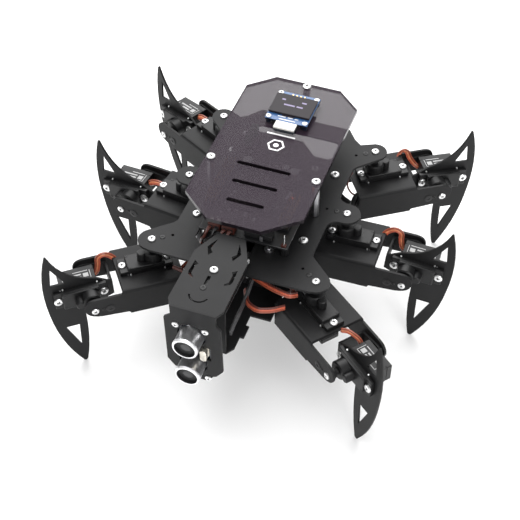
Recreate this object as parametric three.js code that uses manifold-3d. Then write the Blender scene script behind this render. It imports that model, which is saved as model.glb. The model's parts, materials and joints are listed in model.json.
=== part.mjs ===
// Six-legged walking robot: folded sheet-metal chassis, twelve leg servos and one pan servo.
// Millimetres, +Z up, the head looks along -Y, origin on the ground under the chassis centre.
import * as THREE from "three";
import { mergeVertices } from "three/addons/utils/BufferGeometryUtils.js";
import Module from "manifold-3d";

const wasm = await Module();
wasm.setup();

// ---------------------------------------------------------------- driving dimensions
const DECK_Z = 92.6;            // upper face of the top chassis plate
const SHEET = 1.6;              // folded chassis and thigh sheet
const CLAW_SHEET = 1.4;
const GAP = 0.3;                // free space kept between touching pieces
const HUB_X = 51.4;             // coxa pivots: a grid of two columns and three rows
const HUB_Y = 60.2;
const LOBE_R = 8.4;
const LOBE_TURN = 0.62;         // radians an end lobe's holes and horn turn towards the middle
const LOWER_PLATE_TOP = -33.7;  // below the deck
const STANDOFF_X = 34;
const STANDOFF_Y = 30.8;

// micro servo, in its own frame: shaft on +Z, lugs resting on z = 0, long side on +X
const SERVO = {
  backX: -5.9, frontX: 16.9, halfWidth: 6.1, depth: 15.8, lugTop: 2.5, caseTop: 4.6,
  lugBack: -10.7, lugFront: 21.7, humpTop: 10.8, humpR: 5.9, idlerX: 7.1, idlerR: 2.8,
  shaftTop: 12.6, shaftR: 2.3, screwBack: -8.5, screwFront: 19.5, slotR: 1,
};
const LEAD_R = 1.3;
const COXA_HORN = 4.4;          // thickness of the horn over a coxa servo's shaft
const KNEE_HORN = 2.6;

// thigh: an inverted U channel, measured from the coxa pivot and the deck
const WEB_TOP = -19.8;
const THIGH_HALF = 18.6;
const THIGH_BACK = -15;
const WEB_END = 22.8;
const KNEE_REACH = 41;
const KNEE_Z = -31.1;
const CLAW_FRONT = 0.85;        // front face of the claw plate, from the leg's centre plane

// neck and head
const PAN_Y = -89.3;
const NECK_HALF = 10.8;
const NECK_END = -101.6;
const HEAD_TOP = 20;            // above the deck
const HEAD_FOLD_Y = -122.7;
const FACE_TILT = 3;            // degrees past square at the fold
const EYE_R = 8;
const EYE_PITCH = 24.7;
const EYE_REACH = 11;
const EYE_X = -1.5;             // the sensor sits a little left of the neck's middle
const EYE_Z = -34;              // middle of the two eyes, along the face from the fold
const SENSOR_X = -1.9;
const SENSOR_Z = -36.4;         // middle of the sensor board

// electronics and cover
const HOLDER_FLOOR = 1.8;
const CELL_R = 9.1;
const BOARD_TOP = 11;
const COVER_TOP = 27;
const COVER_THICK = 2.6;
const COVER_POSTS = [[-33.4, -7.5], [33.4, -7.5], [0, 75.2]];
const OLED_Y = 47.4;
const OLED_TOP = 31.2;

// each leg: side (-1 left, 1 right), row of the pivot grid, yaw towards the head, knee angle
const LEGS = [
  { name: "front_left", side: -1, row: -1, yaw: 37, knee: -3 },
  { name: "front_right", side: 1, row: -1, yaw: 38, knee: -2 },
  { name: "middle_left", side: -1, row: 0, yaw: -7, knee: -5 },
  { name: "middle_right", side: 1, row: 0, yaw: -1.5, knee: -5 },
  { name: "rear_left", side: -1, row: 1, yaw: -28.5, knee: -7 },
  { name: "rear_right", side: 1, row: 1, yaw: -34.5, knee: -4 },
];

// ---------------------------------------------------------------- materials
const material = (color, roughness, metalness) =>
  new THREE.MeshStandardMaterial({ color, roughness, metalness });
const powderCoat = material(0x2a2a2c, 0.62, 0.25);
const servoPlastic = material(0x151517, 0.45, 0);
const hornPlastic = material(0x1b1b1d, 0.5, 0);
const steel = material(0xc9ccd0, 0.28, 1);
const circuit = material(0x101613, 0.5, 0);
const holderPlastic = material(0x18181a, 0.55, 0);
const cellSleeve = material(0x2f5fa8, 0.4, 0);
const smokedAcrylic = material(0x5f5568, 0.08, 0);
smokedAcrylic.transparent = true;
smokedAcrylic.opacity = 0.55;
const displayGlass = material(0x0a0b10, 0.08, 0);
const cableBlack = material(0x202022, 0.6, 0);

// ---------------------------------------------------------------- solids
function toManifold(geometry) {
  const bare = geometry.clone();
  bare.deleteAttribute("normal");
  bare.deleteAttribute("uv");
  const merged = mergeVertices(bare, 1e-4);
  return new wasm.Manifold(new wasm.Mesh({
    numProp: 3,
    vertProperties: new Float32Array(merged.attributes.position.array),
    triVerts: new Uint32Array(merged.index.array),
  }));
}

function toGeometry(manifold) {
  const mesh = manifold.getMesh();
  const geometry = new THREE.BufferGeometry();
  geometry.setAttribute("position", new THREE.BufferAttribute(mesh.vertProperties, 3));
  geometry.setIndex(new THREE.BufferAttribute(mesh.triVerts, 1));
  geometry.computeVertexNormals();
  return geometry;
}

function join(...pieces) {
  return pieces.map(toManifold).reduce((whole, piece) => whole.add(piece));
}

function cut(whole, ...tools) {
  return tools.map(toManifold).reduce((rest, tool) => rest.subtract(tool), whole);
}

// a straight-sided outline, always counter-clockwise so that its holes face the right way
function outline(points) {
  const corners = points.map(([x, y]) => new THREE.Vector2(x, y));
  return new THREE.Shape(THREE.ShapeUtils.isClockWise(corners) ? corners.reverse() : corners);
}

function extrude(shape, depth, curveSegments = 6) {
  return new THREE.ExtrudeGeometry(shape, { depth, curveSegments, bevelEnabled: false });
}

// shape in X and Y, standing from z0 up to z1
function plate(shape, z0, z1, curveSegments) {
  return extrude(shape, z1 - z0, curveSegments).translate(0, 0, z0);
}

// shape in X and Z, reaching from y0 to y1
function wall(shape, y0, y1, curveSegments) {
  return extrude(shape, y1 - y0, curveSegments).rotateX(Math.PI / 2).translate(0, y1, 0);
}

// shape in Y and Z, reaching from x0 to x1
function rib(shape, x0, x1, curveSegments) {
  return extrude(shape, x1 - x0, curveSegments).rotateX(Math.PI / 2).rotateZ(Math.PI / 2)
    .translate(x0, 0, 0);
}

function block(x0, x1, y0, y1, z0, z1) {
  return new THREE.BoxGeometry(x1 - x0, y1 - y0, z1 - z0)
    .translate((x0 + x1) / 2, (y0 + y1) / 2, (z0 + z1) / 2);
}

function rod(x, y, z0, z1, radius, sides = 16) {
  return new THREE.CylinderGeometry(radius, radius, z1 - z0, sides).rotateX(Math.PI / 2)
    .translate(x, y, (z0 + z1) / 2);
}

// a bar along Y, for the knee's cross-wise pivots
function crossRod(x, z, y0, y1, radius, sides = 16) {
  return new THREE.CylinderGeometry(radius, radius, y1 - y0, sides).translate(x, (y0 + y1) / 2, z);
}

function tube(points, halfWidth, halfHeight, steps, sides = 8) {
  const section = new THREE.Shape();
  for (let i = 0; i < sides; i += 1) {
    const turn = (2 * Math.PI * (i + 0.5)) / sides;
    const corner = [halfWidth * Math.cos(turn), halfHeight * Math.sin(turn)];
    if (i === 0) section.moveTo(...corner);
    else section.lineTo(...corner);
  }
  const path = new THREE.CatmullRomCurve3(points.map((p) => new THREE.Vector3(...p)));
  return new THREE.ExtrudeGeometry(section, { extrudePath: path, steps, bevelEnabled: false });
}

function circleHole(x, y, radius) {
  return new THREE.Path().absarc(x, y, radius, 0, 2 * Math.PI, true);
}

function rectangle(x0, x1, y0, y1) {
  return outline([[x0, y0], [x1, y0], [x1, y1], [x0, y1]]);
}

// the same solid seen in a mirror across the plane y = 0
function mirrorY(geometry) {
  const mirrored = geometry.clone().scale(1, -1, 1);
  const index = mirrored.index.array;
  for (let i = 0; i < index.length; i += 3) {
    const second = index[i + 1];
    index[i + 1] = index[i + 2];
    index[i + 2] = second;
  }
  mirrored.computeVertexNormals();
  return mirrored;
}

function named(name, geometry, finish) {
  const mesh = new THREE.Mesh(geometry, finish);
  mesh.name = name;
  return mesh;
}

// ---------------------------------------------------------------- servo and horn
function servo(leadRoute) {
  const s = SERVO;
  const solid = join(
    block(s.backX, s.frontX, -s.halfWidth, s.halfWidth, -s.depth, s.caseTop),
    block(s.lugBack, s.lugFront, -s.halfWidth, s.halfWidth, 0, s.lugTop),
    rod(0, 0, s.caseTop - 1, s.humpTop, s.humpR, 14),
    rod(s.idlerX, 0, s.caseTop - 1, s.humpTop, s.idlerR, 8),
    rod(0, 0, s.humpTop - 1, s.shaftTop, s.shaftR, 8),
    tube(leadRoute, LEAD_R, LEAD_R, 8, 6),
  );
  const lugSlot = (x) => rod(x, 0, -1, s.lugTop + 1, s.slotR, 6);
  return toGeometry(cut(solid, lugSlot(s.screwBack), lugSlot(s.screwFront)));
}

// one-armed horn: hub over the shaft at z = 0, arm along -X, thickness up to z = top
function horn(top, armLength) {
  const hubR = 3.6;
  const rootR = 3.2;
  const tipR = 2;
  const armThick = 1.7;
  const arm = new THREE.Shape();
  arm.moveTo(0, -rootR);
  arm.absarc(0, 0, rootR, -Math.PI / 2, Math.PI / 2, false);
  arm.lineTo(-armLength, tipR);
  arm.absarc(-armLength, 0, tipR, Math.PI / 2, (3 * Math.PI) / 2, false);
  return toGeometry(join(rod(0, 0, 0, top, hubR, 12), plate(arm, top - armThick, top, 3)));
}

// ---------------------------------------------------------------- chassis
function deckOutline() {
  const frontY = -69;
  const rearY = 75;
  const waistX = 43;
  const flank = 0.78;             // where an end lobe's arc meets the waist
  const right = new THREE.Shape();
  right.moveTo(0, frontY);
  right.lineTo(HUB_X - 1, frontY);
  right.absarc(HUB_X, -HUB_Y, LOBE_R, -Math.PI / 2, flank, false);
  right.lineTo(waistX + 1.6, -42.5);
  right.quadraticCurveTo(waistX, -41, waistX, -38);
  right.lineTo(waistX, -15);
  right.quadraticCurveTo(waistX, -LOBE_R, HUB_X - 1, -LOBE_R);
  right.absarc(HUB_X, 0, LOBE_R, -Math.PI / 2, Math.PI / 2, false);
  right.quadraticCurveTo(waistX, LOBE_R, waistX, 15);
  right.lineTo(waistX, 38);
  right.quadraticCurveTo(waistX, 41, waistX + 1.6, 42.5);
  right.absarc(HUB_X, HUB_Y, LOBE_R - 1, -flank, 1.9, false);
  right.lineTo(40.8, 63.2);
  right.lineTo(36, 67);
  right.lineTo(30, rearY);
  right.lineTo(5.5, rearY);
  right.lineTo(5.5, rearY + 5);
  right.lineTo(0, rearY + 5);
  const half = right.getPoints(5);
  const left = half.slice(1, -1).reverse().map((p) => new THREE.Vector2(-p.x, p.y));
  return new THREE.Shape([...half, ...left]);
}

function topPlate() {
  const deck = deckOutline();
  deck.holes.push(outline([[-23, -54], [8, -54], [8, -25], [-28, -25], [-28, -49]]));
  deck.holes.push(outline([[-27.5, 45], [-25, 43], [25, 43], [27.5, 45], [27.5, 59], [25, 61],
    [-25, 61], [-27.5, 59]]));
  for (const side of [-1, 1]) {
    for (const row of [-1, 0, 1]) {
      const inward = LOBE_TURN * row;
      const reach = 12.8;
      deck.holes.push(circleHole(side * (HUB_X - reach * Math.cos(inward)),
        row * HUB_Y - reach * Math.sin(inward), 1));
    }
  }
  const neck = block(-NECK_HALF, NECK_HALF, NECK_END, -68, -SHEET, 0);
  const noseFlange = block(-NECK_HALF, NECK_HALF, NECK_END, NECK_END + SHEET,
    LOWER_PLATE_TOP + GAP, 0);
  const sideLug = (side) => block(side * 9.6 - 0.6, side * 9.6 + 0.6, -66.5, -59, -9.5, 9);
  const solid = join(plate(deck, -SHEET, 0, 4), neck, noseFlange, sideLug(-1), sideLug(1));
  const servoOpening = block(-SERVO.halfWidth - GAP, SERVO.halfWidth + GAP,
    PAN_Y + SERVO.backX - GAP, PAN_Y + SERVO.frontX + GAP, -SHEET - 1, 1);
  return toGeometry(cut(solid, servoOpening));
}

function bottomPlate() {
  const half = [[27, -69], [27, -50], [27, -44], [38.5, -37], [38.5, -24], [27, -13], [27, 13],
    [38.5, 24], [38.5, 37], [27, 44], [27, 60], [21, 66]];
  const nose = [[11, -101.5], [14.2, -96.5], [14.2, -87], [16.6, -87], [16.6, -77.5],
    [14.2, -77.5], [14.2, -69]];
  const right = [...nose, ...half];
  const left = right.map(([x, y]) => [-x, y]).reverse();
  return toGeometry(toManifold(plate(outline([...right, ...left]),
    LOWER_PLATE_TOP - SHEET, LOWER_PLATE_TOP)));
}

function standoff(x, y, z0, z1, radius) {
  return toGeometry(toManifold(rod(x, y, z0 + GAP, z1 - GAP, radius, 6)));
}

function batteryHolder() {
  const base = LOWER_PLATE_TOP + GAP;
  const tray = toManifold(block(-20.6, 20.6, -46, 32, base, base + 17));
  return toGeometry(cut(tray, block(-19, 19, -42.5, 28.5, base + HOLDER_FLOOR, 0)));
}

function cell(side) {
  const body = new THREE.CylinderGeometry(CELL_R, CELL_R, 65, 20)
    .translate(side * 9.45, -7, LOWER_PLATE_TOP + GAP + HOLDER_FLOOR + GAP + CELL_R);
  return toGeometry(toManifold(body));
}

function controllerBoard() {
  const half = 30.5;
  const board = outline([[-24.5, -51.5], [half, -51.5], [half, 20], [20, 31], [9, 42],
    [-half, 42], [-half, -34], [-24.5, -38]]);
  const legs = [[27, -45], [-27, -20], [-27, 37], [24, 20]]
    .map(([x, y]) => rod(x, y, GAP, BOARD_TOP - 1, 2.6, 6));
  const blocks = [
    block(-19, -2, -51, -43, BOARD_TOP - 1, BOARD_TOP + 5.5),
    block(3, 20, -49, -43, BOARD_TOP - 1, BOARD_TOP + 4),
    block(-28, -22, -33, 6, BOARD_TOP - 1, BOARD_TOP + 8),
    block(20, 26, -38, -14, BOARD_TOP - 1, BOARD_TOP + 8),
    block(-12, 12, -30, -12, BOARD_TOP - 1, BOARD_TOP + 3),
    block(-14, 14, 12, 30, BOARD_TOP - 1, BOARD_TOP + 4),
  ];
  return toGeometry(join(plate(board, BOARD_TOP - 1.6, BOARD_TOP), ...legs, ...blocks));
}

function cover() {
  const right = [[16.7, -58], [36.8, -40.5], [36.8, 64.2], [21.4, 78.4]];
  const left = right.map(([x, y]) => [-x, y]).reverse();
  const sheet = outline([...right, ...left]);
  const slotR = 1.4;
  for (const [y, half] of [[-6.4, 17], [-22.4, 14.2], [-38.8, 11.7]]) {
    const slot = new THREE.Path();
    slot.absarc(half - slotR, y, slotR, -Math.PI / 2, Math.PI / 2, false);
    slot.absarc(slotR - half, y, slotR, Math.PI / 2, (3 * Math.PI) / 2, false);
    slot.closePath();
    sheet.holes.push(slot);
  }
  return toGeometry(toManifold(plate(sheet, COVER_TOP - COVER_THICK, COVER_TOP, 4)));
}

function oledBoard() {
  const board = block(-13.7, 13.7, OLED_Y - 13.9, OLED_Y + 13.9, OLED_TOP - 1.2, OLED_TOP);
  const feet = [];
  for (const x of [-11.75, 11.75]) {
    for (const y of [-11.9, 11.9]) {
      feet.push(rod(x, OLED_Y + y, COVER_TOP + GAP, OLED_TOP - 1, 1.9, 8));
    }
  }
  const plug = block(-5.8, 7.2, OLED_Y - 20, OLED_Y - 13.5, OLED_TOP - 3.8, OLED_TOP - 0.2);
  return toGeometry(join(board, ...feet, plug));
}

function oledScreen() {
  return toGeometry(toManifold(block(-13.3, 13.3, OLED_Y - 8.4, OLED_Y + 9.9,
    OLED_TOP + GAP, OLED_TOP + GAP + 1.5)));
}

function sensorCable() {
  const route = [[12.8, -60, -10], [13, -70, -13.5], [13, -80, -15.8], [12.9, -90, -16.4],
    [12.8, -99, -18.5]];
  return toGeometry(toManifold(tube(route, 0.8, 2.7, 14, 8)));
}

// ---------------------------------------------------------------- head
function headPlate() {
  const right = [[13.6, HEAD_FOLD_Y], [16.5, -117], [16.2, -78], [8.5, -60.5]];
  const left = right.map(([x, y]) => [-x, y]).reverse();
  const crown = outline([...right, ...left]);
  const rearVent = [[6.6, -65.2], [8.8, -69.5], [10.2, -73], [7.5, -79.2], [5.8, -76.3],
    [7.9, -73.8], [7.4, -69.9]];
  const frontVent = [[10.1, -87.4], [12.9, -85.4], [13.3, -94.5], [12.7, -96.8], [9.6, -98.8],
    [9.3, -97.6], [11.3, -95.6], [11.4, -89.5]];
  for (const vent of [rearVent, frontVent]) {
    crown.holes.push(outline(vent), outline(vent.map(([x, y]) => [-x, y])));
  }
  const smile = new THREE.Path();
  const [smileX, smileY] = [-0.9, -109.5];
  smile.absarc(smileX, smileY, 6.2, Math.PI * 1.08, Math.PI * 1.9, false);
  smile.absarc(smileX, smileY, 5.2, Math.PI * 1.9, Math.PI * 1.08, true);
  crown.holes.push(rectangle(-1.7, 0.3, -101.2, -94.4), smile);

  const skew = -0.8;
  const flank = [[17, -11.5], [17, -48.5], [12.6, -54.6], [10.7, -55.4], [8, -60.5]];
  const faceRight = [[13.6, 0], [13.6, -8], ...flank.map(([x, z]) => [x + skew, z])];
  const faceLeft = [[-13.6, 0], [-13.6, -8], ...flank.map(([x, z]) => [skew - x, z])];
  const face = outline([...faceRight, ...faceLeft.reverse()]);
  for (const side of [-1, 1]) {
    face.holes.push(circleHole(EYE_X, EYE_Z + side * EYE_PITCH / 2, EYE_R + 2 * GAP));
  }
  face.holes.push(outline([[3.4, -31.5], [4.6, -29.9], [9.4, -29.9], [9.4, -41], [7, -41],
    [3.4, -37.6]]));
  const front = wall(face, 0, SHEET, 12).rotateX(THREE.MathUtils.degToRad(FACE_TILT))
    .translate(0, HEAD_FOLD_Y, HEAD_TOP);
  return toGeometry(join(plate(crown, HEAD_TOP - SHEET, HEAD_TOP, 5), front));
}

// face pieces are drawn upright behind the fold and tilted with it
function faceGroup() {
  const group = new THREE.Group();
  const boardFront = SHEET + GAP;
  const board = block(SENSOR_X - 10.2, SENSOR_X + 10.2, boardFront, boardFront + 1.6,
    SENSOR_Z - 22.7, SENSOR_Z + 22.7);
  group.add(named("sensor_board", toGeometry(toManifold(board)), circuit));
  for (const [label, side] of [["upper", 1], ["lower", -1]]) {
    const can = crossRod(EYE_X, EYE_Z + side * EYE_PITCH / 2, -EYE_REACH, boardFront - GAP,
      EYE_R, 24);
    group.add(named(`transducer_${label}`, toGeometry(toManifold(can)), steel));
  }
  const section = new THREE.Shape();
  section.absarc(5.75, -32.1, 1.9, 0, Math.PI, false);
  section.absarc(5.75, -36.9, 1.9, Math.PI, 2 * Math.PI, false);
  const crystal = wall(section, -3, boardFront - GAP, 5);
  group.add(named("sensor_crystal", toGeometry(toManifold(crystal)), steel));
  group.position.set(0, HEAD_FOLD_Y, HEAD_TOP);
  group.rotation.x = THREE.MathUtils.degToRad(FACE_TILT);
  return group;
}

// ---------------------------------------------------------------- leg, drawn for the left side
// X runs outwards from the coxa pivot, +Y towards the horn side of the knee
function thigh() {
  const inner = THIGH_HALF - SHEET;
  const bend = 2;
  const hem = -39.4;
  const section = new THREE.Shape();
  section.moveTo(-THIGH_HALF, hem);
  section.lineTo(-inner, hem);
  section.lineTo(-inner, WEB_TOP - SHEET);
  section.lineTo(inner, WEB_TOP - SHEET);
  section.lineTo(inner, hem);
  section.lineTo(THIGH_HALF, hem);
  section.lineTo(THIGH_HALF, WEB_TOP - bend);
  section.quadraticCurveTo(THIGH_HALF, WEB_TOP, THIGH_HALF - bend, WEB_TOP);
  section.lineTo(bend - THIGH_HALF, WEB_TOP);
  section.quadraticCurveTo(-THIGH_HALF, WEB_TOP, -THIGH_HALF, WEB_TOP - bend);
  const side = new THREE.Shape();
  side.moveTo(THIGH_BACK, hem);
  side.lineTo(19.5, hem);
  side.lineTo(20.5, hem + 1.6);
  side.lineTo(37, -36.8);
  side.quadraticCurveTo(46.8, -35.5, 47.2, -28.5);
  side.quadraticCurveTo(47, -23, 41, -22.4);
  side.lineTo(WEB_END + 1, -22);
  side.lineTo(WEB_END, WEB_TOP + 1);
  side.lineTo(THIGH_BACK, WEB_TOP + 1);
  const channel = toManifold(rib(section, THIGH_BACK - 1, 50, 3));
  const trimmed = channel.intersect(toManifold(wall(side, -30, 30, 6)));
  const opening = block(SERVO.backX - GAP, SERVO.frontX + GAP, -SERVO.halfWidth - GAP,
    SERVO.halfWidth + GAP, WEB_TOP - 5, WEB_TOP + 5);
  const farPin = toManifold(crossRod(KNEE_REACH, KNEE_Z, -THIGH_HALF - 1.1, -inner + 2, 1.5, 12));
  return toGeometry(cut(trimmed, opening).add(farPin));
}

// drawn around the knee axis: X outwards, Z up
function claw() {
  const back = CLAW_FRONT - CLAW_SHEET;
  const blade = new THREE.Shape();
  blade.moveTo(20.6, 34);
  blade.quadraticCurveTo(21.2, 36.4, 22.3, 35.6);
  blade.quadraticCurveTo(29.5, 14, 26.5, -12);
  blade.quadraticCurveTo(24, -40, 11.6, -61);
  blade.quadraticCurveTo(10, -62, 9, -60.4);
  blade.quadraticCurveTo(3.8, -40, 4.6, -12);
  blade.lineTo(-8, -10);
  blade.lineTo(-14.9, -7.5);
  blade.lineTo(-14.9, 3.6);
  blade.lineTo(-12, 4.6);
  blade.lineTo(-6, 8.8);
  blade.lineTo(-1, 10.6);
  blade.quadraticCurveTo(14.5, 15.5, 20.6, 34);
  blade.holes.push(outline([[20.4, 24.8], [22.2, 11.3], [13.2, 11.2]]));
  blade.holes.push(outline([[9.7, -27.3], [18.4, -27.3], [10.9, -46.3]]));
  const flangeBack = -THIGH_HALF + SHEET + GAP;
  const far = new THREE.Shape();
  far.moveTo(-14.9, -7.5);
  far.lineTo(-1, -6);
  far.absarc(0, 0, 6, -Math.PI / 2, Math.PI / 2, false);
  far.lineTo(-14.9, 3.6);
  far.holes.push(circleHole(0, 0, 1.9));
  const solid = join(
    wall(blade, back, CLAW_FRONT, 7),
    block(-14.9, -14.9 + CLAW_SHEET, flangeBack, CLAW_FRONT, -7.5, 3.6),
    wall(far, flangeBack, flangeBack + CLAW_SHEET, 6),
  );
  const opening = block(SERVO.backX - GAP, SERVO.frontX + GAP, back - 1, CLAW_FRONT + 1,
    -SERVO.halfWidth - GAP, SERVO.halfWidth + GAP);
  return toGeometry(cut(solid, opening));
}

const COXA_LEAD = [[-4, 0, -13], [-8, 0, -13], [-12, 1, -11.5], [-15, 2, -9.5]];
const KNEE_LEAD = [[-4, 0, -13], [-8, 0, -13], [-10.2, -3, -12.2], [-11.2, -8, -11],
  [-14.2, -10.2, -9.5], [-16, -8.4, -8.5]];

function leg({ name, side, row, yaw, knee }) {
  const handed = (geometry) => (side < 0 ? geometry : mirrorY(geometry));
  const hub = new THREE.Group();
  hub.position.set(side * HUB_X, row * HUB_Y, 0);
  const fixedHorn = named(`${name}_coxa_horn`, horn(COXA_HORN, 14), hornPlastic);
  fixedHorn.position.z = -SHEET - GAP - COXA_HORN;
  fixedHorn.rotation.z = side < 0 ? Math.PI - LOBE_TURN * row : LOBE_TURN * row;
  hub.add(fixedHorn);

  const upper = new THREE.Group();
  upper.rotation.z = THREE.MathUtils.degToRad(side < 0 ? 180 + yaw : -yaw);
  hub.add(upper);
  upper.add(named(`${name}_thigh`, handed(thigh()), powderCoat));
  const coxaServo = servo(COXA_LEAD).translate(0, 0, WEB_TOP + GAP);
  upper.add(named(`${name}_coxa_servo`, handed(coxaServo), servoPlastic));
  const kneeHornTop = THIGH_HALF - SHEET - GAP;
  const kneeHorn = horn(KNEE_HORN, 13).rotateX(-Math.PI / 2)
    .translate(KNEE_REACH, kneeHornTop - KNEE_HORN, KNEE_Z);
  upper.add(named(`${name}_knee_horn`, handed(kneeHorn), hornPlastic));

  const lower = new THREE.Group();
  lower.position.set(KNEE_REACH, 0, KNEE_Z);
  lower.rotation.y = THREE.MathUtils.degToRad(-knee);
  upper.add(lower);
  lower.add(named(`${name}_claw`, handed(claw()), powderCoat));
  const kneeServo = servo(KNEE_LEAD).rotateX(-Math.PI / 2).translate(0, CLAW_FRONT + GAP, 0);
  lower.add(named(`${name}_knee_servo`, handed(kneeServo), servoPlastic));
  return hub;
}

// ---------------------------------------------------------------- assembly
const robot = new THREE.Group();
robot.position.z = DECK_Z;

robot.add(named("top_plate", topPlate(), powderCoat));
robot.add(named("bottom_plate", bottomPlate(), powderCoat));
for (const [side, sideName] of [[-1, "left"], [1, "right"]]) {
  for (const [row, rowName] of [[-1, "front"], [1, "rear"]]) {
    robot.add(named(`standoff_${rowName}_${sideName}`, standoff(side * STANDOFF_X,
      row * STANDOFF_Y, LOWER_PLATE_TOP, -SHEET, 3), steel));
  }
  robot.add(named(`battery_cell_${sideName}`, cell(side), cellSleeve));
}
robot.add(named("battery_holder", batteryHolder(), holderPlastic));
robot.add(named("controller_board", controllerBoard(), circuit));
robot.add(named("cover", cover(), smokedAcrylic));
COVER_POSTS.forEach(([x, y], i) => {
  const postName = ["left", "right", "rear"][i];
  robot.add(named(`cover_post_${postName}`, standoff(x, y, 0, COVER_TOP - COVER_THICK, 2.5), steel));
});
robot.add(named("oled_board", oledBoard(), circuit));
robot.add(named("oled_screen", oledScreen(), displayGlass));
robot.add(named("sensor_cable", sensorCable(), cableBlack));

const PAN_LEAD = [[16, 0, -13], [18.9, 0, -13], [22, 2, -12.5], [26, 5, -12]];
const panServo = servo(PAN_LEAD).rotateZ(Math.PI / 2).translate(0, PAN_Y, GAP);
robot.add(named("pan_servo", panServo, servoPlastic));
const panHornTop = HEAD_TOP - SHEET - GAP;
const panHorn = horn(4, 14).rotateZ(Math.PI / 2).translate(0, PAN_Y, panHornTop - 4);
robot.add(named("pan_horn", panHorn, hornPlastic));
robot.add(named("head_plate", headPlate(), powderCoat));
robot.add(faceGroup());
LEGS.forEach((settings) => robot.add(leg(settings)));

// the origin lies on the ground, under the middle of the whole robot
const extent = new THREE.Box3().setFromObject(robot, true);
const middle = extent.getCenter(new THREE.Vector3());
robot.position.sub(new THREE.Vector3(middle.x, middle.y, extent.min.z));

export default robot;
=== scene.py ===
"""Looks of a six-legged walking robot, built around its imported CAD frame.

Lengths inside the functions are millimetres in one of four frames:
- the deck, with its origin between the six leg pivots, on the top plate's upper face;
- a thigh, with X outwards from its pivot and Y towards its knee horn;
- a claw, the same at the knee, turned with the claw;
- the face, at the head plate's fold, leaning with the face.
Everything handed to Blender is in metres.
"""
import json
import math
import random

import bmesh
import bpy
from mathutils import Matrix, Vector


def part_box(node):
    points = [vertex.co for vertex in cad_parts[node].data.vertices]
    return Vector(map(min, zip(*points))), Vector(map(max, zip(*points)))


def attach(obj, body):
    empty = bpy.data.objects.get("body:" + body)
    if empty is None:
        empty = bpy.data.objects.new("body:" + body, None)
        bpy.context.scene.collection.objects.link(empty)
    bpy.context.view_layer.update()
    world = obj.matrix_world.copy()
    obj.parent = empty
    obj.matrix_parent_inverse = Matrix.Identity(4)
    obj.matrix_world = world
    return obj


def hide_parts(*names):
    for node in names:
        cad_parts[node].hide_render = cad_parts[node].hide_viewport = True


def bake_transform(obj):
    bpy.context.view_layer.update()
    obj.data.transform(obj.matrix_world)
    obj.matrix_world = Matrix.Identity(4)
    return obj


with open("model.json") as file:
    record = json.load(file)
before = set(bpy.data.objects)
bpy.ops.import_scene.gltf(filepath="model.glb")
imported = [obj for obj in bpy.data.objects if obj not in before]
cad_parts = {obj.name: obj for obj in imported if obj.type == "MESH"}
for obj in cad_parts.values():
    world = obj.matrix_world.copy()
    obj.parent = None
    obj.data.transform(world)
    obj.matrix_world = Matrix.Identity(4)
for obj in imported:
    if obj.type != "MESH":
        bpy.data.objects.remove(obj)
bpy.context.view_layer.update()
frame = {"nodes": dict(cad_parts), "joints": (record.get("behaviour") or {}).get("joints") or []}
random.seed(7)

MM = 0.001
FULL_TURN = 2 * math.pi
UP = (0, 0, 1)
DOWN = (0, 0, -1)
GAP = 0.3  # clearance between parts that would touch
SHEET = 1.6  # thickness of the metal sheets
SHARP_DEGREES = 34  # edges that turn more than this stay sharp in the shading

# Each claw's angle about its knee at rest, in degrees
KNEE_REST = {"front_left": -3, "front_right": -2, "middle_left": -5, "middle_right": -5,
             "rear_left": -7, "rear_right": -4}
LEGS = list(KNEE_REST)

# Deck frame
HUB_X, HUB_Y = 51.4, 60.2  # leg pivots
STANDOFF_X, STANDOFF_Y = 34, 30.8
LOWER_PLATE_TOP = -33.7
BOARD_TOP = 11
COVER_TOP = 27
OLED_Y, OLED_TOP = 47.4, 31.2
PAN_Y = -89.3
HEAD_TOP, HEAD_FOLD_Y = 20, -122.7
FACE_TILT = 3  # degrees

# Thigh and claw frames
WEB_TOP = -19.8  # upper face of the thigh's web
THIGH_HALF = 18.6  # from the middle to the outside of an ear
KNEE_REACH, KNEE_Z = 41, -31.1
CLAW_FRONT = 0.85
LUG_HOLES = (-8.5, 19.5)  # a servo's two screws, measured from its shaft
LUG_THICKNESS = 2.5

# Face frame
EYE_X, EYE_Z, EYE_PITCH, EYE_REACH = -1.5, -34, 24.7, 11
SENSOR_X, SENSOR_Z = -1.9, -36.4
CRYSTAL_X, CRYSTAL_UPPER, CRYSTAL_LOWER = 5.75, -32.1, -36.9

# Pins and leads
PIN_PITCH = 2.54
WIRE_RADIUS, WIRE_PITCH = 0.66, 1.15
SUPPLY_WIRES = ((-17.2, -25), (-13.2, -22.6), (-8.4, -20.4), (-4.6, -18))  # x at plug, x at foot

# Stage; points are in the deck frame, light offsets, light sizes and the floor in metres
LIGHT_TARGET = (0, -10, -40)
LIGHTS = (  # name, offset from the target, size, watts
    ("key", (-0.5, 1.25, 1.3), 2.0, 48),
    ("top", (-0.2, -0.1, 1.8), 1.0, 13),
    ("front", (1.1, -1.1, 0.8), 0.8, 13),
)
SKY_LOW, SKY_HIGH = 0.45, 1.05  # brightness at the horizon and overhead
FLOOR_SIZE = 20
CAMERA_LENS, CAMERA_SENSOR = 97.8, 36
CAMERA_TARGET = (15.085, -54.683, 0)
CAMERA_BACK = (0.23673, -0.65571, 0.71694)  # from the target towards the camera
CAMERA_DISTANCE = 829.047

# ---------------------------------------------------------------- frames
joints = {j["name"]: j for j in frame["joints"]}
hubs = [Vector(joints[f"{leg}_coxa"]["pos_m"]) for leg in LEGS]
DECK = Matrix.Translation(sum(hubs, Vector()) / len(hubs)) @ Matrix.Scale(MM, 4)


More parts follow.
